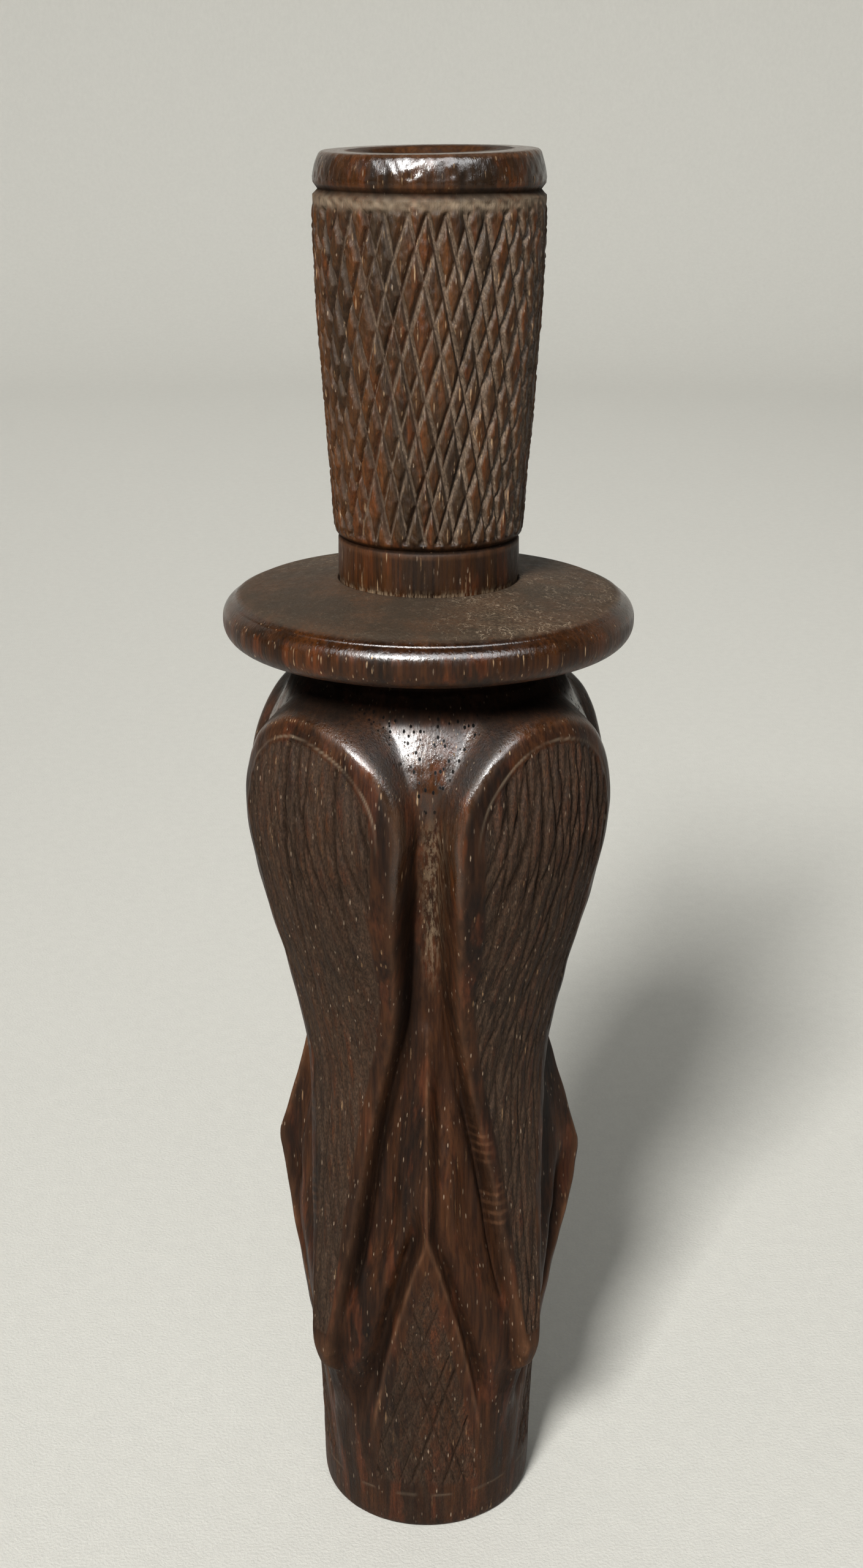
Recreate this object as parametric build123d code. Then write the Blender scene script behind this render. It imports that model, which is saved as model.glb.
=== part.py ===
from build123d import *
import os
from math import cos, radians, sin

# Carved wooden reed game call, standing on its mouth end. Millimetres, +Z up.
# Origin: centre of the mouth end's flat ring, on the surface that the call stands on.

# Heights along the axis
TOTAL_HEIGHT = 155.0
TOOTH_FOOT_Z = 17.0  # where the panels' lower tips run out into the mouth end
TOOTH_Z = 25.0  # lower tips of the four panels, at their full height
RIB_PEAK_Z = 45.0
RIB_START_Z = 59.0
WAIST_Z = 58.0
SHOULDER_Z = 93.5  # widest height of the turned body behind the panels
ARCH_TOP_Z = 100.0
FLANGE_UNDER_Z = 105.4
FLANGE_TOP_Z = 111.8
COLLAR_TOP_Z = 116.4
RIM_GROOVE_Z = 151.1
RIM_BOTTOM_Z = 151.6

# Radii
MOUTH_RADIUS = 12.4
TOOTH_RADIUS = 17.2
WAIST_RADIUS = 14.2
BODY_RADIUS = 19.9
FLANGE_RADIUS = 21.7
SHOULDER_RADIUS = 17.8
NECK_RADIUS = 13.4
RIB_PEAK_RADIUS = 17.15
STEM_FOOT_RADIUS = 9.6
STEM_HEAD_RADIUS = 11.5
RIM_RADIUS = 11.6
RIM_TOP_RADIUS = 10.7
GROOVE_DEPTH = 0.35
GROOVE_HALF_WIDTH = 0.5

# Fit between the two turned pieces
TENON_RADIUS = 9.35
TENON_CLEARANCE = 0.05
TENON_END_Z = 84.0
CHAMBER_RADIUS = 8.0
CHAMBER_END_Z = 36.0
MOUTH_BORE_RADIUS = 7.0
BORE_BEVEL = 1.2

# Tone assembly: a socket for it in the tenon, and the exhaust bore above it
EXHAUST_RADIUS = 5.6
INSERT_RADIUS = 6.30
INSERT_CLEARANCE = 0.05
INSERT_TOP_Z = 106.0
TROUGH_TIP_Z = 44.0
WEDGE_END_Z = 81.0
REED_THICKNESS = 0.25
REED_WIDTH = 9.6
REED_TIP_Z = 45.5
REED_TOP_Z = 102.5
CHANNEL_WIDTH = 4.6
CHANNEL_DEPTH = 4.2
CHANNEL_END_Z = 49.0
LAY_START_Z = 74.0
LAY_DROP = 1.5

PANEL_ANGLES = (45, 135, 225, 315)
RIB_ANGLES = (0, 90, 180, 270)


def revolved(outline):
    """Solid of revolution of a closed (radius, height) outline about Z."""
    return revolve(Plane.XZ * make_face(outline), Axis.Z)


def at_angle(shape, degrees):
    return Rot(0, 0, degrees) * shape


def turned_core():
    """Body of the barrel as turned, down to the floors of the carved valleys."""
    edge_low = FLANGE_UNDER_Z
    edge_high = FLANGE_TOP_Z - 1.2
    floor = Spline(
        (MOUTH_RADIUS, 9.0),
        (12.1, 36.0),
        (11.9, WAIST_Z),
        (13.7, 76.0),
        (16.8, 88.0),
        (SHOULDER_RADIUS, SHOULDER_Z),
    )
    shoulder = Spline(
        (SHOULDER_RADIUS, SHOULDER_Z), (17.1, 96.0), (15.9, 98.5), (14.7, 101.0), (NECK_RADIUS, 103.0)
    )
    outline = (
        Polyline((0, 0), (MOUTH_RADIUS - 0.6, 0), (MOUTH_RADIUS, 2.4), (MOUTH_RADIUS, 9.0))
        + floor
        + shoulder
        + Polyline((NECK_RADIUS, 103.0), (NECK_RADIUS + 0.6, 104.2), (FLANGE_RADIUS - 2.6, edge_low))
        + ThreePointArc(
            (FLANGE_RADIUS - 2.6, edge_low), (FLANGE_RADIUS, 108.1), (FLANGE_RADIUS - 1.0, edge_high)
        )
        + Polyline(
            (FLANGE_RADIUS - 1.0, edge_high), (TENON_RADIUS, FLANGE_TOP_Z), (0, FLANGE_TOP_Z), (0, 0)
        )
    )
    return revolved(outline)


def panel_shell():
    """Everything inside the four panels' common outer surface, with a bevel at their lower tips."""
    surface = Spline(
        (TOOTH_RADIUS, TOOTH_Z),
        (16.2, 34.0),
        (15.0, 45.0),
        (WAIST_RADIUS, WAIST_Z),
        (16.0, 69.0),
        (18.7, 79.5),
        (BODY_RADIUS, 88.0),
        (19.3, 95.0),
        (17.6, ARCH_TOP_Z),
    )
    outline = (
        Polyline(
            (0, TOOTH_FOOT_Z),
            (MOUTH_RADIUS, TOOTH_FOOT_Z),
            (TOOTH_RADIUS - 0.8, TOOTH_Z - 3.0),
            (TOOTH_RADIUS, TOOTH_Z),
        )
        + surface
        + Polyline((17.6, ARCH_TOP_Z), (0, ARCH_TOP_Z), (0, TOOTH_FOOT_Z))
    )
    return revolved(outline)


def panel_outline():
    """Arched-top, pointed-foot outline of one panel, as (sideways, height)."""
    side = Spline(
        (10.9, 90.0), (11.5, 84.0), (9.9, 73.0), (5.9, WAIST_Z), (3.3, 41.0), (0.7, TOOTH_Z)
    )
    right = side
    left = mirror(side, about=Plane.YZ)
    arch = ThreePointArc((10.9, 90.0), (0, ARCH_TOP_Z), (-10.9, 90.0))
    foot = Polyline((0.7, TOOTH_Z), (0.4, TOOTH_FOOT_Z), (-0.4, TOOTH_FOOT_Z), (-0.7, TOOTH_Z))
    return make_face(right + arch + left + foot)


def panel(degrees):
    """Prism of the panel's outline, running outwards from the axis at the given angle."""
    reach = BODY_RADIUS + 3
    prism = extrude(Plane.XZ * panel_outline(), amount=reach, dir=(0, -1, 0))
    return at_angle(prism, degrees)


def polar(radius, degrees):
    """Point at a radius, and an angle from the rib's middle plane, in plan."""
    return (radius * sin(radians(degrees)), -radius * cos(radians(degrees)))


def rib(degrees):
    """Crested rib: a sharp crest up to its peak, and a widening facet from there to the mouth."""
    # height, crest radius, facet edge angle, groove (radius, angle), flank (radius, angle)
    stations = (
        (RIB_START_Z, 12.0, 0.8, (11.9, 2), (11.5, 8)),
        (52.0, 15.4, 0.7, (14.2, 5), (12.2, 17)),
        (RIB_PEAK_Z, RIB_PEAK_RADIUS, 0.7, (15.6, 5), (12.6, 24)),
        (36.0, 15.65, 6.6, (13.6, 10), (13.3, 25)),
        (30.0, 14.7, 13.8, (12.9, 18), (13.3, 29)),
        (20.0, 13.3, 22.5, (12.3, 27), (12.8, 35)),
        (8.0, 12.3, 29.5, (12.1, 31), (12.3, 37)),
    )
    foot = polar(9.0, 24)
    sections = []
    for height, crest, edge, groove, flank in stations:
        half = (polar(crest, edge), polar(*groove), polar(*flank), foot)
        mirrored = [(-x, y) for x, y in reversed(half)]
        outline = Polyline(*mirrored, polar(crest, 0), *half, close=True)
        sections.append(Pos(0, 0, height) * make_face(outline))
    return at_angle(loft(sections, ruled=True), degrees)


def bore(radius, low, high):
    """Cylinder on the axis between two heights, to be cut away."""
    return Pos(0, 0, low) * Cylinder(radius, high - low, align=(Align.CENTER, Align.CENTER, Align.MIN))


def bevel_cutter(radius, edge_z, inwards):
    """Cone that bevels a bore's edge at edge_z; inwards is +1 or -1, the way into the bore along Z."""
    wide = radius + BORE_BEVEL
    end_z = edge_z + inwards * BORE_BEVEL
    return revolved(Polyline((0, edge_z), (wide, edge_z), (radius, end_z), (0, end_z), close=True))


def barrel():
    carved = turned_core()
    shell = panel_shell()
    for degrees in PANEL_ANGLES:
        carved += shell & panel(degrees)
    for degrees in RIB_ANGLES:
        carved += rib(degrees)
    carved -= bore(TENON_RADIUS + TENON_CLEARANCE, TENON_END_Z, FLANGE_TOP_Z + 1)
    carved -= bore(CHAMBER_RADIUS, CHAMBER_END_Z, TENON_END_Z)
    carved -= bore(MOUTH_BORE_RADIUS, -1, CHAMBER_END_Z)
    carved -= bevel_cutter(MOUTH_BORE_RADIUS, 0, 1)
    return carved


def stopper():
    """Tenon and collar, tapered stem between two V-grooves, and plain rim."""
    stem = Spline(
        (STEM_FOOT_RADIUS, COLLAR_TOP_Z + GROOVE_HALF_WIDTH),
        (10.2, 125.0),
        (11.15, 139.0),
        (STEM_HEAD_RADIUS, RIM_GROOVE_Z - GROOVE_HALF_WIDTH),
    )
    rim = Line((RIM_RADIUS, RIM_BOTTOM_Z), (RIM_RADIUS, RIM_BOTTOM_Z + 1.6)) + ThreePointArc(
        (RIM_RADIUS, RIM_BOTTOM_Z + 1.6), (RIM_RADIUS - 0.3, RIM_BOTTOM_Z + 2.7), (RIM_TOP_RADIUS, TOTAL_HEIGHT)
    )
    outline = (
        Polyline(
            (0, TENON_END_Z),
            (TENON_RADIUS, TENON_END_Z),
            (TENON_RADIUS, COLLAR_TOP_Z - GROOVE_HALF_WIDTH),
            (TENON_RADIUS - GROOVE_DEPTH, COLLAR_TOP_Z),
            (STEM_FOOT_RADIUS, COLLAR_TOP_Z + GROOVE_HALF_WIDTH),
        )
        + stem
        + Polyline(
            (STEM_HEAD_RADIUS, RIM_GROOVE_Z - GROOVE_HALF_WIDTH),
            (STEM_HEAD_RADIUS - GROOVE_DEPTH, RIM_GROOVE_Z),
            (RIM_RADIUS, RIM_BOTTOM_Z),
        )
        + rim
        + Polyline((RIM_TOP_RADIUS, TOTAL_HEIGHT), (0, TOTAL_HEIGHT), (0, TENON_END_Z))
    )
    turned = revolved(outline)
    turned -= bore(INSERT_RADIUS + INSERT_CLEARANCE, TENON_END_Z - 1, INSERT_TOP_Z)
    turned -= bore(EXHAUST_RADIUS, INSERT_TOP_Z, TOTAL_HEIGHT + 1)
    turned -= bevel_cutter(EXHAUST_RADIUS, TOTAL_HEIGHT, -1)
    return turned


def half_space(face_y, side):
    """Large block on one side (+1 or -1) of the plane Y = face_y."""
    size = 4 * INSERT_RADIUS
    return Pos(0, face_y + side * size / 2, INSERT_TOP_Z / 2) * Box(size, size, 2 * INSERT_TOP_Z)


def tone_trough():
    """Half-round tone board behind the reed: curved lay, and an air channel open to the exhaust."""
    board = bore(INSERT_RADIUS, TROUGH_TIP_Z, INSERT_TOP_Z) & half_space(0, 1)
    lay_profile = make_face(
        ThreePointArc(
            (0, LAY_START_Z),
            (LAY_DROP * 0.25, (LAY_START_Z + TROUGH_TIP_Z) / 2),
            (LAY_DROP, TROUGH_TIP_Z),
        )
        + Polyline((LAY_DROP, TROUGH_TIP_Z), (-1, TROUGH_TIP_Z), (-1, LAY_START_Z), (0, LAY_START_Z))
    )
    lay = extrude(Plane.YZ * lay_profile, amount=INSERT_RADIUS + 1, both=True)
    half = CHANNEL_WIDTH / 2
    channel_section = make_face(
        Polyline((-half, CHANNEL_DEPTH - half), (-half, -1), (half, -1), (half, CHANNEL_DEPTH - half))
        + ThreePointArc((half, CHANNEL_DEPTH - half), (0, CHANNEL_DEPTH), (-half, CHANNEL_DEPTH - half))
    )
    channel = extrude(Pos(0, 0, CHANNEL_END_Z) * channel_section, amount=INSERT_TOP_Z - CHANNEL_END_Z + 1)
    return board - lay - channel


def wedge_block():
    """Half-round wedge in front of the reed, sloped at its lower end."""
    block = bore(INSERT_RADIUS, WEDGE_END_Z, INSERT_TOP_Z) & half_space(-REED_THICKNESS, -1)
    slope_profile = make_face(
        Polyline(
            (-REED_THICKNESS - 1.5, WEDGE_END_Z - 1),
            (-INSERT_RADIUS - 1, WEDGE_END_Z - 1),
            (-INSERT_RADIUS - 1, WEDGE_END_Z + 2.4),
            close=True,
        )
    )
    return block - extrude(Plane.YZ * slope_profile, amount=INSERT_RADIUS + 1, both=True)


def reed():
    """Flat brass strip with rounded corners at its free end."""
    tip_round = 1.6
    half = REED_WIDTH / 2
    tip_half = half - 0.5
    outline = make_face(
        Polyline((-tip_half, REED_TIP_Z + tip_round), (-half, REED_TOP_Z), (half, REED_TOP_Z))
        + Line((half, REED_TOP_Z), (tip_half, REED_TIP_Z + tip_round))
        + ThreePointArc(
            (tip_half, REED_TIP_Z + tip_round), (0, REED_TIP_Z), (-tip_half, REED_TIP_Z + tip_round)
        )
    )
    return extrude(Plane.XZ * outline, amount=REED_THICKNESS)


NODES = {
    "barrel": barrel,
    "stopper": stopper,
    "tone_trough": tone_trough,
    "wedge_block": wedge_block,
    "reed": reed,
}

os.makedirs("parts", exist_ok=True)
for node, make in NODES.items():
    export_step(make(), f"parts/{node}.step")
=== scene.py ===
import math

import bpy
import numpy as np
from mathutils import Matrix, Vector


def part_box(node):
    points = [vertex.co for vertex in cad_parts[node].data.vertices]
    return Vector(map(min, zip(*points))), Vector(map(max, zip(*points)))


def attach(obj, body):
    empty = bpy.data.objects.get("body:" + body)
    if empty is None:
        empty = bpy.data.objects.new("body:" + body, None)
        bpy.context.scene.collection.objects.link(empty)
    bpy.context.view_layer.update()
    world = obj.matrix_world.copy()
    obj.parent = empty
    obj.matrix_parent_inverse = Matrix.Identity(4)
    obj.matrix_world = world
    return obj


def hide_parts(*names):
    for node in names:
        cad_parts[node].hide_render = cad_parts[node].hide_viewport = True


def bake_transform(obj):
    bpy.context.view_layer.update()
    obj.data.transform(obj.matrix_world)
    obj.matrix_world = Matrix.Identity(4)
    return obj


# Looks of a carved wooden reed game call: a barrel with four checkered panels and four crested
# ribs, and a checkered stopper that pushes into it. Shapes are worked out in millimetres and put
# into the meshes in metres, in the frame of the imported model: +Z up, the front rib towards -Y.
# "turn" is the angle round the axis from the front, and "z" is the height.

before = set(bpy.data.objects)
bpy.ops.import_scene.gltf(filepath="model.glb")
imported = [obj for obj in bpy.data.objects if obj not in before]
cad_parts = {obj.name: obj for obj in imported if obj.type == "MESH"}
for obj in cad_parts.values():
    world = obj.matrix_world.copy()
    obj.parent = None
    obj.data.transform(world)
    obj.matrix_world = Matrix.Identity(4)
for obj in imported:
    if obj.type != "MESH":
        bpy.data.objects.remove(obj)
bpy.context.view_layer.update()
MM = 0.001

# Heights along the axis, mm
TOTAL_HEIGHT = 155.0
FLANGE_TOP_Z = 111.8
COLLAR_TOP_Z = 116.4
RIM_GROOVE_Z = 151.1
TENON_END_Z = 84.0
SHOULDER_TOP_Z = 102.6
CHAMBER_END_Z = 36.0
INSERT_TOP_Z = 106.0
ARCH_CENTRE_Z = 88.0
RIB_START_Z = 66.5
RIB_PEAK_Z = 45.0
RING_LINE_Z = 4.6

# Radii and widths, mm
SOCKET_RADIUS = 9.40
TENON_RADIUS = 9.35
CHAMBER_RADIUS = 8.0
MOUTH_BORE_RADIUS = 7.0
INSERT_SOCKET_RADIUS = 6.35
EXHAUST_RADIUS = 5.6
FLANGE_RADIUS = 21.7
ARCH_RADIUS = 11.8
BORE_BEVEL = 1.2
SCRIBE_INSET = 1.9

# Panels' cuts, mm and degrees: upright reeding, and slanting cuts wider apart that cross it
REED_SPACING = 1.42
REED_SLANT = 15.0
SLANTED_SPACING = 1.25 * REED_SPACING
PANEL_FOOT_Z = 27.0
PANEL_CUT_DEPTH = 0.27
PANEL_CUT_EXTRA_ABOVE = 0.17

# The wander of the barrel's cuts repeats after this many cuts
BARREL_CUTS = 45

# The ribs' facets: diamonds this wide and this tall, and the cuts' depth, mm
FACET_DIAMOND_WIDTH = 1.7
FACET_DIAMOND_HEIGHT = 5.4
FACET_CUT_DEPTH = 0.27

# The stopper's stem: cuts round it, the rise of each family for one spacing, the cuts' depth,
# and how far the diamonds swell between them, mm
STEM_LINES = 36
STEM_RISE_LEFT = 8.2
STEM_RISE_RIGHT = 6.0
STEM_CUT_DEPTH = 0.47
STEM_PILLOW = 0.16

# The right-hand rib is a little larger than the others and peaks lower, mm
LARGER_RIB = 1
LARGER_RIB_EXTRA = 0.55
LARGER_RIB_DROP = 1.3

# Linear colours shared by both woods
DUST_TAN = (0.23, 0.165, 0.105, 1.0)
# painted shade for the cuts' bottoms, grooves, bores and the flange's underside; also the darker
# tone of the rim and collar
SHADE_AND_DARK_WOOD = (0.006, 0.004, 0.003, 1.0)
PORE_BLACK = (0.002, 0.002, 0.002, 1.0)


# ---------------------------------------------------------------- helpers

def smooth_curve(points):
    """Monotone cubic through (position, value) points, as a function of an array."""
    xs, ys = (np.array(v, float) for v in zip(*points))
    step = np.diff(xs)
    slope = np.diff(ys) / step
    tangent = np.zeros_like(xs)
    for i in range(1, len(xs) - 1):
        if slope[i - 1] * slope[i] > 0:
            w1 = 2 * step[i] + step[i - 1]
            w2 = step[i] + 2 * step[i - 1]
            tangent[i] = (w1 + w2) / (w1 / slope[i - 1] + w2 / slope[i])
    tangent[0], tangent[-1] = slope[0], slope[-1]

    def evaluate(at):
        at = np.clip(at, xs[0], xs[-1])
        i = np.clip(np.searchsorted(xs, at) - 1, 0, len(xs) - 2)
        t = (at - xs[i]) / step[i]
        h = step[i]
        return (
            ys[i] * (1 + 2 * t) * (1 - t) ** 2
            + ys[i + 1] * t * t * (3 - 2 * t)
            + tangent[i] * h * t * (1 - t) ** 2
            - tangent[i + 1] * h * t * t * (1 - t)
        )

    return evaluate


def ramp(value, low, high):
    """0 below low, 1 above high, smooth between; low may be the greater."""
    t = np.clip((value - low) / (high - low), 0, 1)
    return t * t * (3 - 2 * t)


def soft_max(a, b, width):
    """The greater of two heights, with the corner between them rounded over width."""
    return 0.5 * (a + b + np.sqrt((a - b) ** 2 + width * width))


def bump_at(distance, width):
    """1 where distance is 0, falling to nothing over about two widths."""
    return np.exp(-((distance / width) ** 2))


def waves(seed, turn, height, count, most_turns, wavelength):
    """Smooth noise of about -1 to 1 that closes round the axis: turn in radians, height in mm."""
    rng = np.random.default_rng(seed)
    total = 0
    for _ in range(count):
        k = rng.integers(0, most_turns + 1)
        m = rng.uniform(0.4, 1.6) / wavelength
        phase = rng.uniform(0, 2 * math.pi)
        sign = rng.choice((-1, 1))
        total = total + np.sin(k * turn + sign * 2 * math.pi * m * height + phase)
    return total / math.sqrt(count)


def vee(phase, width):
    """1 at the bottom of a V-cut where phase is whole, 0 at width (in periods) from it."""
    away = np.abs(phase - np.round(phase))
    return np.clip(1 - away / width, 0, 1)


def revolved_mesh(name, turn, radius, height, attributes):
    """Closed mesh from rows of (radius, height), one ring per row; rows join end to end."""
    rows, columns = radius.shape
    x = radius * np.sin(turn)
    y = -radius * np.cos(turn)
    points = np.stack([x, y, np.broadcast_to(height, x.shape)], axis=-1) * MM
    index = np.arange(rows * columns).reshape(rows, columns)
    across = np.roll(index, -1, axis=1)
    up = np.roll(index, -1, axis=0)
    up_across = np.roll(across, -1, axis=0)
    quads = np.stack([index, across, up_across, up], axis=-1).reshape(-1, 4)
    mesh = bpy.data.meshes.new(name)
    mesh.vertices.add(rows * columns)
    mesh.vertices.foreach_set("co", points.ravel())
    mesh.loops.add(quads.size)
    mesh.loops.foreach_set("vertex_index", quads.ravel())
    mesh.polygons.add(len(quads))
    mesh.polygons.foreach_set("loop_start", np.arange(0, quads.size, 4))
    mesh.update(calc_edges=True)
    mesh.polygons.foreach_set("use_smooth", np.ones(len(quads), bool))
    for key, values in attributes.items():
        layer = mesh.attributes.new(key, "FLOAT", "POINT")
        full = np.broadcast_to(values, radius.shape)
        layer.data.foreach_set("value", full.ravel().astype(np.float32))
    piece = bpy.data.objects.new(name, mesh)
    bpy.context.collection.objects.link(piece)
    return piece


def arc_rows(centre, radius, start, end, count):
    """Points of an arc in the (radius, height) plane; angles in degrees from +r towards +z."""
    angles = np.radians(np.linspace(start, end, count))
    return [(centre[0] + radius * math.cos(a), centre[1] + radius * math.sin(a)) for a in angles]


def line_rows(start, end, step):
    """Points from start to end, end left out, about step apart."""
    count = max(1, round(math.dist(start, end) / step))
    start, end = np.array(start), np.array(end)
    return [tuple(start + (end - start) * i / count) for i in range(count)]


def chained_rows(points, steps):
    """Rows along a chain of points, each stretch with its own step; the last point is left out."""
    rows = []
    for start, end, step in zip(points, points[1:], steps):
        rows += line_rows(start, end, step)
    return rows


# ---------------------------------------------------------------- barrel's shape

panel_radius = smooth_curve([
    (16.5, 11.8), (20.5, 14.6), (22.5, 16.6), (25.5, 17.3), (30.0, 16.8), (38.0, 15.8),
    (48.0, 14.8), (58.0, 14.2), (68.0, 15.7), (78.0, 18.3), (ARCH_CENTRE_Z, 19.9), (96.0, 19.1),
    (100.0, 17.6), (SHOULDER_TOP_Z, 14.4),
])
panel_half_width = smooth_curve([
    (16.5, 0.7), (21.0, 0.8), (25.0, 1.2), (30.0, 1.9), (38.0, 3.0), (48.0, 4.35),
    (58.0, 5.9), (68.0, 8.4), (78.0, 10.4), (84.0, 11.4), (ARCH_CENTRE_Z, ARCH_RADIUS),
])
floor_radius = smooth_curve([
    (0.0, 12.4), (30.0, 12.2), (48.0, 12.1), (60.0, 12.0), (66.0, 12.3), (72.0, 13.0),
    (78.0, 14.1), (84.0, 15.6), (88.0, 16.8), (91.0, 17.6), (93.5, 17.8), (96.0, 17.1),
    (98.5, 15.9), (100.5, 14.9), (SHOULDER_TOP_Z, 13.9),
])
crest_radius = smooth_curve([
    (3.0, 12.2), (8.0, 12.4), (15.0, 12.75), (25.0, 14.0), (35.0, 15.55), (40.0, 16.4),
    (43.8, 17.05), (RIB_PEAK_Z, 17.15), (46.2, 17.05), (47.4, 16.7), (52.0, 15.40),
    (57.0, 14.15), (62.0, 13.25), (RIB_START_Z, 12.5),
])
facet_half_width = smooth_curve([
    (3.0, 6.9), (8.0, 6.6), (14.6, 5.9), (20.8, 5.0), (29.7, 3.2), (36.0, 1.6), (42.3, 0.0),
    (RIB_START_Z, 0.0),
])
flank_radius = smooth_curve([
    (3.0, 12.3), (10.0, 12.4), (20.0, 12.9), (30.0, 13.4), (38.0, 13.4), (45.0, 13.1),
    (52.0, 12.8), (60.0, 12.2), (RIB_START_Z, 12.0),
])
corner_radius = smooth_curve([
    (2.0, 12.35), (7.0, 12.5), (12.0, 12.9), (16.0, 13.5), (20.0, 14.6), (24.0, 15.6),
    (28.0, 15.7), (32.0, 15.3), (38.0, 14.6), (44.0, 14.0),
])
mouth_radius = smooth_curve([
    (0.0, 11.8), (0.4, 12.1), (1.4, 12.3), (4.0, 12.4), (9.0, 12.45), (20.0, 12.45),
])


def chord(angle, start, start_radius, end, end_radius):
    """Radius at angle of the straight line between two polar points; angles in degrees."""
    before = np.sin(np.radians(end - angle)) / start_radius
    after = np.sin(np.radians(angle - start)) / end_radius
    return np.sin(np.radians(end - start)) / np.maximum(before + after, 1e-3)


def carving(turn, z):
    """Radius of the carved body at each turn (radians) and height, with the places on it.

    inside: how far in from the panel's edge; u: sideways from the panel's middle; beyond: sideways
    past the edge of the rib's facet or crest. All in mm.
    """
    degrees = np.degrees(turn)
    from_panel = np.mod(degrees, 90) - 45
    from_rib = np.mod(degrees + 45, 90) - 45
    aside = np.abs(from_rib)
    wander = 0.14 * waves(11, turn, z, 9, 9, 42)
    panel_r = panel_radius(z)
    u = panel_r * np.sin(np.radians(from_panel))
    half = panel_half_width(z)
    slant = np.gradient(half, axis=0) / np.gradient(z, axis=0)
    side_in = (half - np.abs(u)) / np.sqrt(1 + slant ** 2)
    arch_in = ARCH_RADIUS - np.hypot(u, z - ARCH_CENTRE_Z)
    inside = np.where(z < ARCH_CENTRE_Z, side_in, arch_in) + wander * ramp(half, 1.5, 5.0)

    # ribs: sharp crest, checkered facet below the peak, hollow flanks, squared lower body
    rib_index = np.floor(np.mod(degrees + 45, 360) / 90)
    larger = np.where(rib_index == LARGER_RIB, 1.0, 0.0)
    crest = crest_radius(z + LARGER_RIB_DROP * larger * ramp(z, 20, 35))
    crest = crest + LARGER_RIB_EXTRA * larger * ramp(z, 30, 40) * ramp(z, 62, 52)
    facet = facet_half_width(z)
    beyond = crest * np.sin(np.radians(aside)) - facet
    flank = flank_radius(z)
    outward = np.clip(beyond, 0, None)
    reach = 6.2 - 2.9 * ramp(z, 50, 61)
    falling = (1 - np.clip(outward / reach, 0, 1)) ** 1.7
    rib = flank + (crest - flank) * falling
    rib = rib + 0.30 * ramp(z, 54, 44) * bump_at(beyond - 3.1, 1.1)
    facet_angle = np.degrees(np.arcsin(np.clip(facet / crest, 0, 0.9)))
    squared = chord(aside, facet_angle, crest, 45.0, corner_radius(z))
    squared = np.where(aside < facet_angle, crest, squared)
    past_facet = np.clip((aside - facet_angle) / (45 - facet_angle), 0, 1)
    squared = squared + 0.35 * np.sin(np.pi * past_facet)
    low = ramp(z, 41, 28)
    rib = rib * (1 - low) + squared * low
    left = ramp(from_rib, 0.5, -0.5)
    groove_reach = 0.75 + 0.65 * left
    groove = ramp(z, 11, 20) * ramp(z, 48, 38)
    rib = rib - (0.85 + 0.65 * left) * groove * bump_at(beyond - groove_reach, 0.55 + 0.45 * left)
    undercut = (1 - left) * ramp(z, 38, 44) * ramp(z, 63, 54)
    rib = rib - 1.15 * undercut * bump_at(beyond - 1.45, 1.05)
    floor = floor_radius(z)
    hollow = 0.10 * ramp(z, 60, 75) * ramp(z, 90, 82)
    trough = floor + hollow * np.clip(aside / 4.0, 0, 1.8) ** 2
    rib_fade = ramp(z, RIB_START_Z + 1.0, RIB_START_Z - 2.0)
    base = trough + (soft_max(rib, trough, 0.15) - trough) * rib_fade
    valley = bump_at(inside + 0.70, 0.45) * ramp(z, 29, 36) * ramp(z, 86, 78)
    base = base - 0.50 * valley
    mouth = mouth_radius(z)
    base = np.where(z < 9.0, mouth + (base - mouth) * ramp(z, 3.5, 9.0), base)
    base = np.maximum(base, mouth - 0.3)

    # panels: steep walls, rounded edges, a flatter bevel round the arch
    lean = np.clip(half / panel_r, 0.15, 0.9)
    steep = np.clip(1.9 * np.sqrt(1 - lean ** 2) / lean, 2.4, 3.6)
    steep = 1.0 + (steep - 1.0) * ramp(z, 94, 85)
    soft = 0.15
    drop = steep * soft * np.logaddexp(0, -inside / soft)
    panel = panel_r - drop
    radius = soft_max(panel, base, 0.10)

    zones = {
        "inside": inside,
        "u": u,
        "beyond": beyond,
        "from_rib": from_rib,
        "panel_index": np.floor(np.mod(degrees, 360) / 90),
        "rib_index": rib_index,
    }
    return radius, zones


# ---------------------------------------------------------------- cuts

def line_jitter(seed, phase, period, reach):
    """Offset, in spacings, that is much the same along a cut but differs from cut to cut.

    phase counts cuts. The offset repeats after period of them, so it closes round the stem.
    """
    rng = np.random.default_rng(seed)
    total = 0
    turns = np.arange(max(2, int(period * 0.12)), int(period * 0.48))
    for k in turns:
        total = total + np.sin(2 * math.pi * k * phase / period + rng.uniform(0, 2 * math.pi))
    return reach * total / math.sqrt(len(turns) / 2)


def crossing_cuts(seed, first, second, z, period, width, reach):
    """Two families of V-cuts, as shares of full depth; each cut wanders and digs in its own way.

    Also gives, for each family, the wall of the cut: 1 on its right-hand side, -1 on its left.
    """
    slow = z / 26.0
    shares, sides = [], []
    for k, phase in enumerate((first, second)):
        moved = phase + line_jitter(seed + k, phase, period, reach)
        sway = line_jitter(seed + 4 + k, phase, period, reach * 0.6)
        moved = moved + sway * np.sin(2 * math.pi * slow + 1.3 * k)
        dig = 0.82 + 0.5 * line_jitter(seed + 8 + k, phase, period, 0.35)
        dig = dig + 0.12 * np.sin(z / 2.1 + 5 * line_jitter(seed + 12 + k, phase, period, 1.0))
        shares.append(vee(moved, width) * np.clip(dig, 0.6, 1.15))
        sides.append(np.clip((moved - np.round(moved)) / (0.15 * width), -1, 1))
    return shares, sides


# ---------------------------------------------------------------- barrel's mesh

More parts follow.
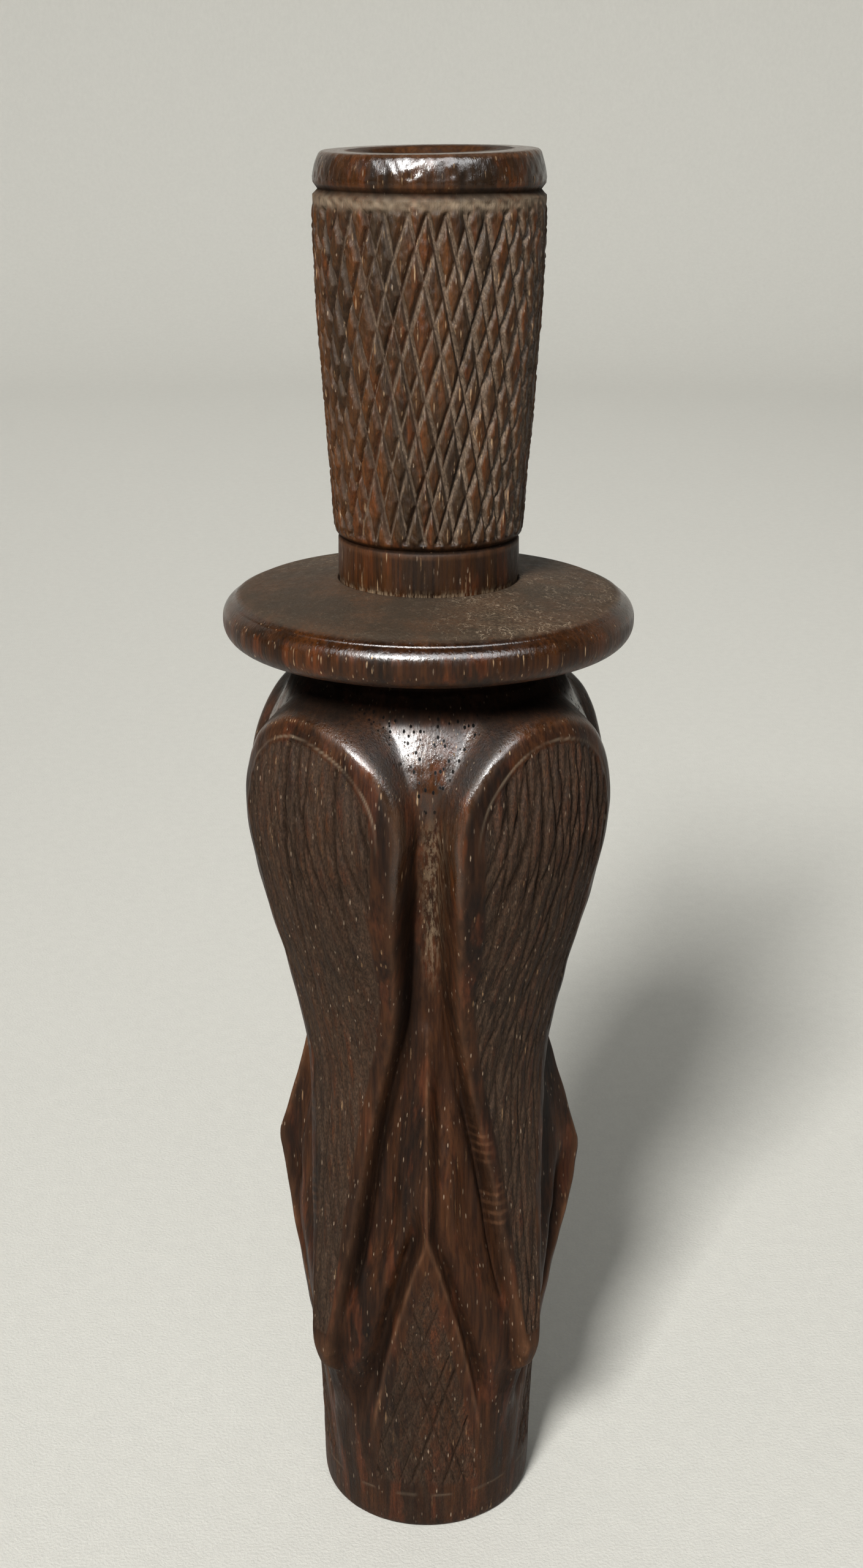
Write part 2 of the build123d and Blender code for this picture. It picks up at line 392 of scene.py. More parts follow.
def bore_rows():
    """Rows of (radius, height) down the inside, from the flange's top round to the mouth."""
    return chained_rows(
        [
            (SOCKET_RADIUS + 0.12, FLANGE_TOP_Z - 0.02), (SOCKET_RADIUS, FLANGE_TOP_Z - 0.2),
            (SOCKET_RADIUS, TENON_END_Z), (CHAMBER_RADIUS, TENON_END_Z),
            (CHAMBER_RADIUS, CHAMBER_END_Z), (MOUTH_BORE_RADIUS, CHAMBER_END_Z),
            (MOUTH_BORE_RADIUS, BORE_BEVEL), (MOUTH_BORE_RADIUS + BORE_BEVEL, 0),
            (11.2, 0.0), (11.75, 0.02),
        ],
        [0.1, 2.5, 0.5, 3.0, 0.5, 3.0, 0.4, 0.6, 0.15],
    )


def flange_rows():
    """Neck, underside, rounded edge and slightly domed top of the flange."""
    rows = line_rows((13.9, SHOULDER_TOP_Z), (13.35, 103.3), 0.15)
    rows += arc_rows((14.35, 103.9), 1.0, 215, 100, 8)
    rows += line_rows((14.4, 104.9), (19.3, 105.3), 0.6)
    rows += arc_rows((19.45, 107.55), FLANGE_RADIUS - 19.45, -88, -2, 14)
    rows += arc_rows((19.75, 107.95), FLANGE_RADIUS - 19.75, 0, 62, 12)
    rows += line_rows((20.66, 109.72), (20.3, 110.0), 0.14)
    rows += line_rows((20.3, 110.02), (19.2, 110.5), 0.3)
    socket_edge = [
        (19.2, 110.5), (SOCKET_RADIUS + 0.5, FLANGE_TOP_Z),
        (SOCKET_RADIUS + 0.12, FLANGE_TOP_Z - 0.02),
    ]
    return rows + chained_rows(socket_edge, [0.8, 0.13])


def make_barrel():
    """The barrel with its bores, carving and flange, and where each finish lies on it."""
    columns = 720
    step = 0.22
    turn = np.linspace(0, 2 * math.pi, columns, endpoint=False)[None, :]
    carved_z = np.arange(0.05, SHOULDER_TOP_Z, step)
    z = np.repeat(carved_z[:, None], columns, axis=1)
    turns = np.repeat(turn, len(carved_z), axis=0)
    radius, zones = carving(turns, z)
    inside = zones["inside"]

    # panel checkering: upright reeding crossed by slanting cuts, inside the scribed line
    inset = (SCRIBE_INSET - 0.9 * ramp(z, 82, 66)) * ramp(z, 28, 45)
    inner = inside - inset - 0.35
    in_panel = ramp(inner, 0.0, 0.25) * (z > PANEL_FOOT_Z)
    mirrored = np.where(zones["panel_index"] % 2 == 0, 1.0, -1.0)
    own = 11.3 * zones["panel_index"]
    upright = zones["u"] / REED_SPACING + own + 0.05 * np.sin(z / 9.0 + own)
    leaning = mirrored * z * math.tan(math.radians(REED_SLANT))
    slanted = zones["u"] / SLANTED_SPACING - leaning / SLANTED_SPACING + own
    (one, other), _ = crossing_cuts(31, upright, slanted, z, BARREL_CUTS, width=0.31, reach=0.12)
    other = other * (1.0 - 0.5 * ramp(z, 90, 97))
    cuts = np.maximum(one, other)
    ragged = 1 + 0.18 * waves(33, turns, z, 60, 20, 2.6) + 0.15 * waves(34, turns, z, 90, 20, 6.0)
    panel_depth = PANEL_CUT_DEPTH + PANEL_CUT_EXTRA_ABOVE * ramp(z, 76, 92)
    panel_cut = panel_depth * in_panel * ragged * cuts

    # the facet's diamonds
    margin = 1.25 - 0.5 * ramp(z, 22, 12)
    facet_inner = -zones["beyond"] - margin
    in_facet = ramp(facet_inner, 0.0, 0.2) * ramp(z, 5.8, 6.8) * (z < 39)
    across = radius * np.sin(np.radians(zones["from_rib"]))
    rib_own = 7.7 * zones["rib_index"]
    sideways, rise = across / FACET_DIAMOND_WIDTH, z / FACET_DIAMOND_HEIGHT
    first, second = sideways + rise + rib_own, sideways - rise + rib_own
    (one, other), _ = crossing_cuts(61, first, second, z, BARREL_CUTS, width=0.20, reach=0.09)
    facet_cuts = np.maximum(one, other)
    facet_cut = FACET_CUT_DEPTH * in_facet * facet_cuts * (0.6 + 0.5 * ramp(ragged, 0.8, 1.1))

    # lines scribed inside the arches and round the mouth, worn away in places; tool marks all over
    broken = ramp(waves(36, turns, z, 12, 20, 11), -0.5, 0.4)
    scribe_line = bump_at(inside - SCRIBE_INSET, 0.10) * ramp(z, 87, 91) * (0.35 + 0.65 * broken)
    ring_line = bump_at(z - RING_LINE_Z - 0.15 * waves(37, turns, z, 3, 5, 60), 0.13)
    tool = 0.035 * waves(41, turns, z, 14, 40, 7) + 0.05 * waves(42, turns, z, 8, 14, 24)
    # short chatter marks of the gouge on the right-hand wall of each valley
    wall = bump_at(inside - 0.25, 0.95) * ramp(z, 36, 41) * ramp(z, 58, 52)
    wall = wall * (zones["from_rib"] > 0)
    ripple = np.sin(2 * math.pi * (z - 0.25 * across + 0.25 * waves(43, turns, z, 8, 10, 9)) / 1.15)
    chatter = wall * 0.010 * ripple
    radius = radius - panel_cut - facet_cut - 0.10 * scribe_line - 0.08 * ring_line * broken
    radius = radius + tool * ramp(z, 1, 8) + chatter

    # where each finish lies, from 0 to 1. Cuts: painted shade at the bottom, bare wood on their
    # walls
    panel_deep = (0.35 + 0.55 * ramp(z, 70, 88)) * in_panel * ramp(cuts, 0.35, 0.85)
    facet_deep = 0.75 * in_facet * ramp(facet_cuts, 0.4, 0.9)
    deep = np.clip(panel_deep + facet_deep, 0, 1)
    panel_raw = 0.8 * in_panel * ramp(cuts, 0.0, 0.3)
    facet_raw = 0.5 * in_facet * ramp(facet_cuts, 0.0, 0.3)
    raw = np.clip(panel_raw + facet_raw, 0, 1)
    # painted shade beside the panels (most on the left-hand side, away from the light), beside the
    # facets and in the crease under the arches' bevels; also darker over the panels' feet
    shaded = np.where(zones["from_rib"] < 0, 1.0, 0.45)
    valley = shaded * bump_at(inside + 0.9, 0.8) * ramp(z, 28, 36) * ramp(z, 88, 80)
    foot = ramp(z, 14, 18) * ramp(z, 29, 25) * ramp(inside, -2.2, -0.8)
    groove = bump_at(zones["beyond"] - 1.1, 0.8) * ramp(z, 15, 24) * ramp(z, 47, 40)
    seam = bump_at(inside + 2.3, 0.5) * ramp(z, 88, 91) * ramp(z, 99, 96)
    # rubbed: the panels' edges and tips, and the ribs' crests
    ridge = bump_at(inside - 0.1, 0.35) * (z > 24) * (z < 99.6)
    tips = ramp(z, 28, 24.5) * ramp(z, 20.5, 22) * ramp(inside, -0.6, 0.2)
    crest = bump_at(zones["beyond"], 0.22) * ramp(z, 10, 18) * ramp(z, 67, 63)
    crest = crest * (0.4 + 0.6 * broken)
    # dull cut wood, painted shade on the neck under the flange, and the polished shoulder and arch
    # edges with open pores
    bevel = ramp(inside, 0.2, -0.4) * ramp(inside, -3.0, -2.0) * ramp(z, 84, 89)
    mouth = ramp(z, 17, 9)
    matte = np.clip(in_panel + in_facet + 0.45 * bevel + 0.5 * mouth, 0, 1)
    neck = ramp(z, 99.2, 101.4)
    arris = bump_at(inside - 0.05, 0.42) * ramp(z, 79, 86) * ramp(z, 101, 99)
    shoulder = ramp(z, 89.0, 92.0) * ramp(z, 100.4, 98.6) * ramp(inside, -1.6, -2.4)
    polish = np.clip(shoulder + arris, 0, 1)
    porous = ramp(z, 90, 92) * ramp(inside, -1.6, -2.2)
    # a dusty patch where each rib starts
    dust = bump_at(zones["from_rib"] - 1.6, 3.4) * ramp(z, 68, 76) * ramp(z, 92, 88)

    bore = bore_rows()
    flange = flange_rows()

    def column(values):
        return np.repeat(np.array(values)[:, None], columns, 1)

    flange_r, flange_z = np.array(flange).T
    all_r = np.concatenate([column([p[0] for p in bore]), radius, column(flange_r)])
    all_z = np.concatenate([column([p[1] for p in bore]), z, column(flange_z)])
    top = ramp(flange_z, 109.9, 110.3)
    # the flange's underside, where painted shade goes
    under = ramp(flange_r, 18.5, 14.5) * ramp(flange_z, 106, 105)
    upper_edge = np.clip(1 - top - under, 0, 1) * (0.2 + 0.8 * ramp(flange_z, 107.9, 108.9))

    def zone(on_body, in_bore=0.0, on_flange=0.0):
        """One attribute over the bore's rows, the carved rows and the flange's rows."""
        outer = np.asarray(on_flange, float)
        outer = outer if outer.ndim == 2 else outer.reshape(-1, 1)
        return np.concatenate([
            np.full((len(bore), columns), in_bore),
            np.broadcast_to(on_body, z.shape),
            np.broadcast_to(outer, (len(flange), columns)),
        ])

    # three scuffed places on the flange's top, by their turn from the front
    scuffed = bump_at(turn - 0.50, 0.30) + 0.7 * bump_at(turn - 1.45, 0.45)
    scuffed = scuffed + 0.5 * bump_at(turn - 3.9, 0.5)
    # painted shade in the cuts, valleys, grooves, crease and neck; darker over the feet
    dark = 0.85 * deep + 1.0 * valley + 0.8 * groove + 0.5 * seam + 0.4 * foot + neck
    # real gouge marks, with a painted highlight: their ridges on the lit right-hand wall take the
    # rubbed-edge tint
    marks = 0.6 * wall * ramp(ripple, 0.0, 0.8) * broken
    lines = 0.7 * scribe_line + 0.3 * ring_line * broken
    attributes = {
        "matte": zone(matte, 0.6, 0.35 * top),
        "raw": zone(raw),
        # painted shade down the bore and under the flange; the flange's top a little darker
        "cut": zone(np.clip(dark, 0, 1), 0.4, under + 0.18 * top),
        "edge": zone(np.clip(0.35 * ridge + 0.9 * crest + 0.45 * tips + marks, 0, 1)),
        "scribed": zone(np.clip(lines, 0, 1), 0.0, 0.22 * top),
        "polish": zone(polish, 0.0, upper_edge),
        "porous": zone(porous),
        "dust": zone(0.55 * dust, 0.0, top[:, None] * (0.10 + 0.90 * scuffed)),
    }
    return revolved_mesh("carved_barrel", turn, all_r, all_z, attributes)


# ---------------------------------------------------------------- stopper

stem_radius = smooth_curve([
    (116.9, 9.70), (119.0, 9.88), (123.0, 10.12), (127.0, 10.45), (131.5, 10.8),
    (137.0, 11.15), (140.5, 11.35), (144.0, 11.5), (147.0, 11.6), (150.4, 11.6),
])


def stopper_rows(step):
    """Rows of (radius, height) from the rim's bore down the outside, and back up the bore."""
    top = TOTAL_HEIGHT
    bevel_end = EXHAUST_RADIUS + BORE_BEVEL
    rows = chained_rows(
        [
            (EXHAUST_RADIUS, top - BORE_BEVEL), (bevel_end - 0.1, top - 0.1),
            (bevel_end + 0.3, top), (10.5, top),
        ],
        [0.2, 0.1, 0.5],
    )
    rows += [(10.66, top - 0.02), (10.86, top - 0.14), (11.01, top - 0.35)]
    rows += [(11.15, top - 0.7), (11.28, top - 1.15), (11.40, top - 1.65)]
    rows += chained_rows(
        [
            (11.48, top - 2.05), (11.60, top - 2.75), (11.55, top - 3.3),
            (11.1, RIM_GROOVE_Z), (11.45, RIM_GROOVE_Z - 0.42),
        ],
        [0.2, 0.2, 0.12, 0.1],
    )
    stem_top = RIM_GROOVE_Z - 0.55
    stem_foot = COLLAR_TOP_Z + 0.45
    for z in np.arange(stem_top, stem_foot, -step):
        rows.append((float(stem_radius(np.array(z))), float(z)))
    collar_groove = [(9.6, stem_foot - 0.05), (9.2, COLLAR_TOP_Z), (9.4, COLLAR_TOP_Z - 0.25)]
    rows += chained_rows(collar_groove, [0.1, 0.08])
    rows += line_rows((9.43, COLLAR_TOP_Z - 0.3), (9.46, FLANGE_TOP_Z + 0.5), 0.3)
    rows += line_rows((9.44, FLANGE_TOP_Z + 0.45), (TENON_RADIUS, FLANGE_TOP_Z + 0.1), 0.1)
    tenon_and_bore = [
        (TENON_RADIUS, FLANGE_TOP_Z), (TENON_RADIUS, TENON_END_Z + 0.6),
        (TENON_RADIUS - 0.5, TENON_END_Z), (INSERT_SOCKET_RADIUS, TENON_END_Z),
        (INSERT_SOCKET_RADIUS, INSERT_TOP_Z), (EXHAUST_RADIUS, INSERT_TOP_Z),
        (EXHAUST_RADIUS, top - BORE_BEVEL),
    ]
    return rows + chained_rows(tenon_and_bore, [0.9, 0.2, 0.5, 3.0, 0.4, 3.0])


def make_stopper():
    """The stopper with its checkered stem, rim, collar and tenon, and where each finish lies."""
    columns = 640
    step = 0.15
    rows = stopper_rows(step)
    turn = np.linspace(0, 2 * math.pi, columns, endpoint=False)[None, :]
    turns = np.repeat(turn, len(rows), axis=0)
    radius = np.repeat(np.array([p[0] for p in rows])[:, None], columns, 1)
    z = np.repeat(np.array([p[1] for p in rows])[:, None], columns, 1)
    outside = radius > INSERT_SOCKET_RADIUS + 2.0
    stem = ramp(z, COLLAR_TOP_Z + 0.7, COLLAR_TOP_Z + 1.1)
    stem = stem * ramp(z, RIM_GROOVE_Z - 1.3, RIM_GROOVE_Z - 1.9) * outside
    around = turns * STEM_LINES / (2 * math.pi)
    first, second = around + z / STEM_RISE_LEFT, around - z / STEM_RISE_RIGHT
    shares, sides = crossing_cuts(51, first, second, z, STEM_LINES, width=0.235, reach=0.085)
    (one, other), (side_one, side_other) = shares, sides
    share = np.maximum(one, other)
    # painted highlight: bare wood shows most on each cut's right-hand wall, which faces the light
    lit_wall = np.where(one > other, 0.72 + 0.28 * side_one, 0.52 + 0.48 * side_other)
    side = np.where(one > other, side_one, side_other)
    depth = STEM_CUT_DEPTH + 0.08 * waves(53, turns, z, 6, 10, 14)
    pillow = STEM_PILLOW * (1 - share) ** 2
    rim = ramp(z, RIM_GROOVE_Z + 0.4, RIM_GROOVE_Z + 1.2) * outside
    dents = 0.028 * waves(54, turns, z, 26, 90, 1.8) * rim
    tool = 0.03 * waves(55, turns, z, 9, 12, 20) * outside
    tool = tool * ramp(z, FLANGE_TOP_Z + 1, FLANGE_TOP_Z + 3)
    band = bump_at(z - (RIM_GROOVE_Z - 0.95), 0.6) * outside
    rough = 0.035 * waves(56, turns, z, 60, 90, 1.4) * stem
    rough = rough + 0.05 * waves(58, turns, z, 14, 70, 1.8) * band
    radius = radius - stem * (depth * share - pillow + 0.06) + dents + tool + rough
    # the rim's top slopes a little, and nowhere rises above the whole height
    slope = 0.18 * (np.sin(turns - 0.6) - 1)
    z = z + slope * ramp(z, TOTAL_HEIGHT - 2.0, TOTAL_HEIGHT)
    # painted shade in the rim's and collar's grooves and down the bore
    grooves = bump_at(z - RIM_GROOVE_Z, 0.30) + bump_at(z - COLLAR_TOP_Z, 0.25)
    bored = (radius < INSERT_SOCKET_RADIUS + 0.3) * ramp(z, 152.6, 149.0)
    collar = ramp(z, COLLAR_TOP_Z, COLLAR_TOP_Z - 0.5) * outside
    worn_top = ramp(z, 154.2, 154.7) * outside
    worn_collar = bump_at(z - COLLAR_TOP_Z + 0.45, 0.15) * outside
    # painted shade on each cut's left-hand wall, which faces away from the light
    dark_wall = stem * ramp(share, 0.1, 0.7) * (0.35 - 0.35 * side)
    # painted shade, plus the darker wood of the rim and collar
    dark = dark_wall + 0.95 * grooves * outside + bored + 0.50 * rim + 0.4 * collar
    attributes = {
        "matte": np.clip(0.45 * stem + band, 0, 1),
        # bare wood on the cuts' walls, with a painted highlight on the lit ones
        "raw": np.clip(stem * ramp(share, 0.08, 0.30) * lit_wall, 0, 1),
        "cut": np.clip(dark, 0, 1),
        "edge": np.clip(0.8 * worn_top + 0.9 * worn_collar, 0, 1),
        "scribed": band * (0.8 + 0.3 * waves(57, turns, z, 10, 80, 1.5)),
        "polish": rim + 0.20 * collar + 0.16 * stem,
        "porous": 0 * z,
        "dust": np.clip(0.8 * bump_at(z - FLANGE_TOP_Z, 0.35) * outside, 0, 1),
    }
    return revolved_mesh("checkered_stopper", turn, radius, z, attributes)


# ---------------------------------------------------------------- reed

def make_reed():
    """Thin strip with a rounded free end, in many rows along its length."""
    half_width, tip_round, slices = 4.8, 1.6, 72
    lowest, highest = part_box("reed")
    low, high = lowest[2] / MM, highest[2] / MM
    front, back = lowest[1] / MM, highest[1] / MM
    heights = low + (high - low) * np.linspace(0, 1, slices) ** 1.6
    taper = half_width - 0.5 * ramp(heights, high, low)
    from_round = 1 - np.clip((heights - low) / tip_round, 0, 1)
    rounded = np.sqrt(np.clip(1 - from_round ** 2, 0.0004, 1))
    width = taper - (1 - rounded) * taper * 0.96
    vertices = []
    for x, z in zip(width, heights):
        vertices += [(-x * MM, front * MM, z * MM), (x * MM, front * MM, z * MM)]
        vertices += [(x * MM, back * MM, z * MM), (-x * MM, back * MM, z * MM)]
    faces = [(3, 2, 1, 0), tuple(4 * (slices - 1) + k for k in range(4))]
    for row in range(slices - 1):
        for k in range(4):
            here, there = 4 * row + k, 4 * row + (k + 1) % 4
            faces.append((here, there, there + 4, here + 4))
    mesh = bpy.data.meshes.new("brass_reed")
    mesh.from_pydata(vertices, [], faces)
    mesh.update()
    piece = bpy.data.objects.new("brass_reed", mesh)
    bpy.context.collection.objects.link(piece)
    return piece


# ---------------------------------------------------------------- materials

class Nodes:
    """Small builder for a material's node tree."""

    def __init__(self, name):
        self.material = bpy.data.materials.new(name)
        self.material.use_nodes = True
        self.tree = self.material.node_tree
        self.shader = self.tree.nodes["Principled BSDF"]

    def add(self, kind, settings=None, **inputs):
        node = self.tree.nodes.new(kind)
        for key, value in (settings or {}).items():
            setattr(node, key, value)
        for key, value in inputs.items():
            self.put(node, key.replace("_", " "), value)
        return node

    def put(self, node, socket, value):
        """Link or set a socket, by its name or, after #, by its number."""
        target = node.inputs[int(socket[1:])] if socket[0] == "#" else node.inputs[socket]
        if isinstance(value, bpy.types.NodeSocket):
            self.tree.links.new(value, target)
        else:
            target.default_value = value

    def math(self, operation, a, b=0.5, c=None, clamp=False):
        node = self.tree.nodes.new("ShaderNodeMath")
        node.operation = operation
        node.use_clamp = clamp
        self.put(node, "#0", a)
        self.put(node, "#1", b)
        if c is not None:
            self.put(node, "#2", c)
        return node.outputs[0]

    def times(self, *values):
        result = values[0]
        for value in values[1:]:
            result = self.math("MULTIPLY", result, value)
        return result

    def attribute(self, name):
        return self.add("ShaderNodeAttribute", {"attribute_name": name}).outputs["Fac"]

    def mix(self, factor, first, second, blend="MIX"):
        node = self.tree.nodes.new("ShaderNodeMix")
        node.data_type = "RGBA"
        node.blend_type = blend
        self.put(node, "#0", factor)
        self.put(node, "#6", first)
        self.put(node, "#7", second)
        return node.outputs[2]

    def stretched(self, across, along, offset=0.0):
        """Object position in units of across mm sideways and along mm up the axis."""
        coords = self.add("ShaderNodeTexCoord").outputs["Object"]
        node = self.add("ShaderNodeMapping", Vector=coords)
        node.inputs["Scale"].default_value = (1000 / across, 1000 / across, 1000 / along)
        node.inputs["Location"].default_value = (offset, offset * 1.7, offset * 0.6)
        return node.outputs[0]

    def noise(self, across, along, detail=3.0, rough=0.55, offset=0.0):
        node = self.add("ShaderNodeTexNoise", Vector=self.stretched(across, along, offset))
        node.inputs["Scale"].default_value = 1.0
        node.inputs["Detail"].default_value = detail
        node.inputs["Roughness"].default_value = rough
        return node.outputs["Fac"]

    def cells(self, across, along, offset=0.0):
        """Distance to the nearest scattered point, and two random numbers that belong to it."""
        node = self.add("ShaderNodeTexVoronoi", Vector=self.stretched(across, along, offset))
        node.inputs["Scale"].default_value = 1.0
        random = self.add("ShaderNodeSeparateColor", Color=node.outputs["Color"])
        return node.outputs["Distance"], random.outputs[0], random.outputs[1]

    def window(self, value, low, high, to_low=0.0, to_high=1.0):
        """Smooth step from to_low at low to to_high at high; low may be the greater."""
        node = self.add("ShaderNodeMapRange", {"interpolation_type": "SMOOTHSTEP"}, Value=value)
        node.inputs["From Min"].default_value = low
        node.inputs["From Max"].default_value = high
        node.inputs["To Min"].default_value = to_low
        node.inputs["To Max"].default_value = to_high
        return node.outputs[0]

    def relief(self, height, strength, distance):
        """Bump on the shader, distance in mm."""
        bump = self.add("ShaderNodeBump", Height=height)
        bump.inputs["Strength"].default_value = strength
        bump.inputs["Distance"].default_value = distance * MM
        self.put(self.shader, "Normal", bump.outputs[0])


def rgb(r, g, b):
    return (r, g, b, 1.0)


def carved_wood(name, dark, warm, red, grey, raw_tone):
    """Old dark hardwood: axial grain, dust-filled pores, grey raw cuts, rubbed edges, with painted
    shade in hollows and painted highlight on lit cut walls.

    The piece's own attributes, from 0 to 1, say where each finish lies.
    """
    n = Nodes(name)
    matte, raw, cut = n.attribute("matte"), n.attribute("raw"), n.attribute("cut")
    edge, scribed = n.attribute("edge"), n.attribute("scribed")
    polish, dust, porous = n.attribute("polish"), n.attribute("dust"), n.attribute("porous")

    normal = n.add("ShaderNodeTexCoord").outputs["Normal"]
    upward = n.math("ABSOLUTE", n.add("ShaderNodeSeparateXYZ", Vector=normal).outputs[2])
    end_grain = n.window(upward, 0.45, 0.75)
    side_grain = n.math("SUBTRACT", 1.0, end_grain)
    broad = n.window(n.noise(5.0, 45.0, 4.0, 0.6), 0.35, 0.65)
    colour = n.mix(broad, dark, warm)
    reddish = n.window(n.noise(2.2, 11.0, 4.0, 0.6, 21.0), 0.52, 0.66)
    colour = n.mix(n.times(reddish, side_grain, 0.60), colour, red)
    fine = n.window(n.noise(0.45, 12.0, 4.0, 0.65, 3.1), 0.3, 0.7)
    grain = n.mix(fine, rgb(0.42, 0.38, 0.36), rgb(1.45, 1.4, 1.35))
    colour = n.mix(0.9, colour, grain, "MULTIPLY")
    rubbed = n.window(n.noise(0.9, 2.6, 5.0, 0.75, 7.7), 0.38, 0.66)
    speckle = n.window(n.noise(0.15, 0.42, 3.0, 0.6, 31.0), 0.34, 0.68)
    colour = n.mix(n.times(matte, n.math("MULTIPLY_ADD", rubbed, 0.65, 0.10)), colour, grey)
    glow = n.window(polish, 0.0, 0.25)
    colour = n.mix(glow, colour, rgb(1.22, 1.06, 0.56), "MULTIPLY")
    # bare wood on the cuts' walls; on the stopper a painted highlight keeps it mostly to the walls
    # facing the light
    colour = n.mix(n.times(raw, n.math("MULTIPLY_ADD", fine, 0.45, 0.5)), colour, raw_tone)

    rough_cut = n.math("MAXIMUM", matte, raw)
    grains = n.mix(speckle, rgb(0.62, 0.60, 0.58), rgb(1.55, 1.5, 1.45))
    colour = n.mix(rough_cut, colour, grains, "MULTIPLY")

    # pores: axial tubes that dust has filled, as long pores, short flecks and streaks on polished
    # edges; open black pores on the shoulder
    near, chosen, bright = n.cells(0.50, 5.5, 1.3)
    streaky = n.window(n.noise(2.6, 16.0, 3.0, 0.6, 17.0), 0.44, 0.60)
    worn_in = n.window(n.noise(0.16, 0.55, 2.0, 0.6, 23.0), 0.36, 0.50)
    long_pores = n.times(n.window(near, 0.22, 0.12), n.window(chosen, 0.46, 0.52))
    pore = n.times(long_pores, streaky, worn_in)
    hair, picked, glint = n.cells(0.34, 1.7, 8.3)
    fleck = n.times(n.window(hair, 0.26, 0.12), n.window(picked, 0.64, 0.68), worn_in)
    strand, taken, pale = n.cells(0.52, 7.0, 5.9)
    split = n.window(n.noise(0.3, 1.6, 2.0, 0.6, 27.0), 0.40, 0.52)
    strands = n.times(n.window(strand, 0.20, 0.11), n.window(taken, 0.20, 0.24))
    streak = n.times(strands, split, glow)
    spot, spotted, _ = n.cells(0.50, 0.85, 4.4)
    dots = n.times(n.window(spot, 0.34, 0.24), n.window(spotted, 0.30, 0.35), porous)
    shown = n.math("MULTIPLY_ADD", polish, 0.35, 0.65)
    colour = n.mix(n.times(pore, side_grain, bright, shown), colour, rgb(0.32, 0.20, 0.11))
    colour = n.mix(n.times(fleck, side_grain, glint, 0.70), colour, rgb(0.36, 0.27, 0.19))
    streak = n.times(streak, side_grain, n.math("MULTIPLY_ADD", pale, 0.5, 0.5))
    colour = n.mix(streak, colour, rgb(0.42, 0.28, 0.16))
    colour = n.mix(dots, colour, PORE_BLACK)

    # painted shade in the grooves, bores and under the flange, and the rim's and collar's darker
    # wood; rubbed edges, with a painted highlight on the chatter marks; scribed lines, dust, and
    # fibres stuck on end grain
    colour = n.mix(n.times(cut, 0.80), colour, SHADE_AND_DARK_WOOD)
    worn = n.math("MULTIPLY_ADD", rubbed, 0.35, 0.25)
    colour = n.mix(n.times(edge, worn), colour, rgb(0.17, 0.080, 0.040))
    colour = n.mix(n.times(scribed, 0.52), colour, rgb(0.30, 0.23, 0.16))
    patchy = n.window(n.noise(0.34, 2.8, 5.0, 0.72, 12.0), 0.44, 0.60)
    dusted = n.times(dust, patchy, n.math("MULTIPLY_ADD", end_grain, -0.60, 0.90))
    colour = n.mix(dusted, colour, DUST_TAN)
    wiggle = n.math("ABSOLUTE", n.math("SUBTRACT", n.noise(1.0, 1.0, 2.0, 0.6, 41.0), 0.5))
    gathered = n.window(n.noise(1.6, 1.6, 3.0, 0.6, 43.0), 0.46, 0.54)
    fibres = n.times(n.window(wiggle, 0.018, 0.006), gathered, end_grain)
    dusty = n.math("MINIMUM", n.times(dust, 1.6), 1.0)
    colour = n.mix(n.times(fibres, dusty, 0.5), colour, rgb(0.40, 0.31, 0.22))
    n.put(n.shader, "Base Color", colour)

    shine = n.math("MULTIPLY_ADD", matte, 0.20, 0.48)
    shine = n.math("MULTIPLY_ADD", polish, -0.27, shine)
    shine = n.math("ADD", shine, n.math("MULTIPLY_ADD", rubbed, 0.14, -0.07))
    holes = n.math("MAXIMUM", n.math("MAXIMUM", n.math("SUBTRACT", cut, polish), pore), dots)
    shine = n.math("ADD", shine, n.times(holes, 0.35), clamp=True)
    n.put(n.shader, "Roughness", shine)
    gloss = n.math("MULTIPLY_ADD", polish, 0.40, 0.13)
    open_wood = n.math("SUBTRACT", 1.0, n.times(holes, 0.85))
    n.put(n.shader, "Specular IOR Level", n.times(gloss, open_wood))

    streaks = n.noise(0.26, 5.0, 3.0, 0.6, 5.0)
    grit = n.noise(0.40, 0.8, 4.0, 0.65, 9.0)
    streak_depth = n.math("MULTIPLY_ADD", matte, 0.9, 0.5)
    height = n.math("MULTIPLY_ADD", streaks, streak_depth, n.times(grit, 0.45))
    height = n.math("MULTIPLY_ADD", pore, -0.6, height)
    height = n.math("MULTIPLY_ADD", n.times(rough_cut, speckle), 0.5, height)
    n.relief(height, 0.6, 0.11)
    return n.material


def plain_wood(name, dark, light):
    """Unpolished inner piece of wood with straight axial grain."""
    n = Nodes(name)
    rings = n.window(n.noise(1.6, 40.0, 4.0, 0.6, 2.0), 0.35, 0.65)
    fine = n.window(n.noise(0.25, 9.0, 3.0, 0.6, 4.0), 0.3, 0.7)
    colour = n.mix(rings, dark, light)
    grain = n.mix(fine, rgb(0.55, 0.5, 0.48), rgb(1.2, 1.15, 1.1))
    colour = n.mix(0.6, colour, grain, "MULTIPLY")
    n.put(n.shader, "Base Color", colour)
    n.put(n.shader, "Roughness", n.window(fine, 0, 1, 0.5, 0.7))
    n.relief(fine, 0.4, 0.06)
    return n.material


def rolled_brass():
    """Old brass strip with patches of tarnish and fine rolling lines along it."""
    n = Nodes("rolled_brass")
    tarnish = n.window(n.noise(3.0, 5.0, 5.0, 0.65, 6.0), 0.4, 0.7)
    bright, dull = rgb(0.78, 0.55, 0.22), rgb(0.42, 0.26, 0.10)
    n.put(n.shader, "Base Color", n.mix(tarnish, bright, dull))
    n.put(n.shader, "Metallic", 1.0)
    n.put(n.shader, "Roughness", n.math("MULTIPLY_ADD", tarnish, 0.22, 0.24))
    n.relief(n.noise(0.08, 12.0, 2.0, 0.5, 1.0), 0.25, 0.03)
    return n.material


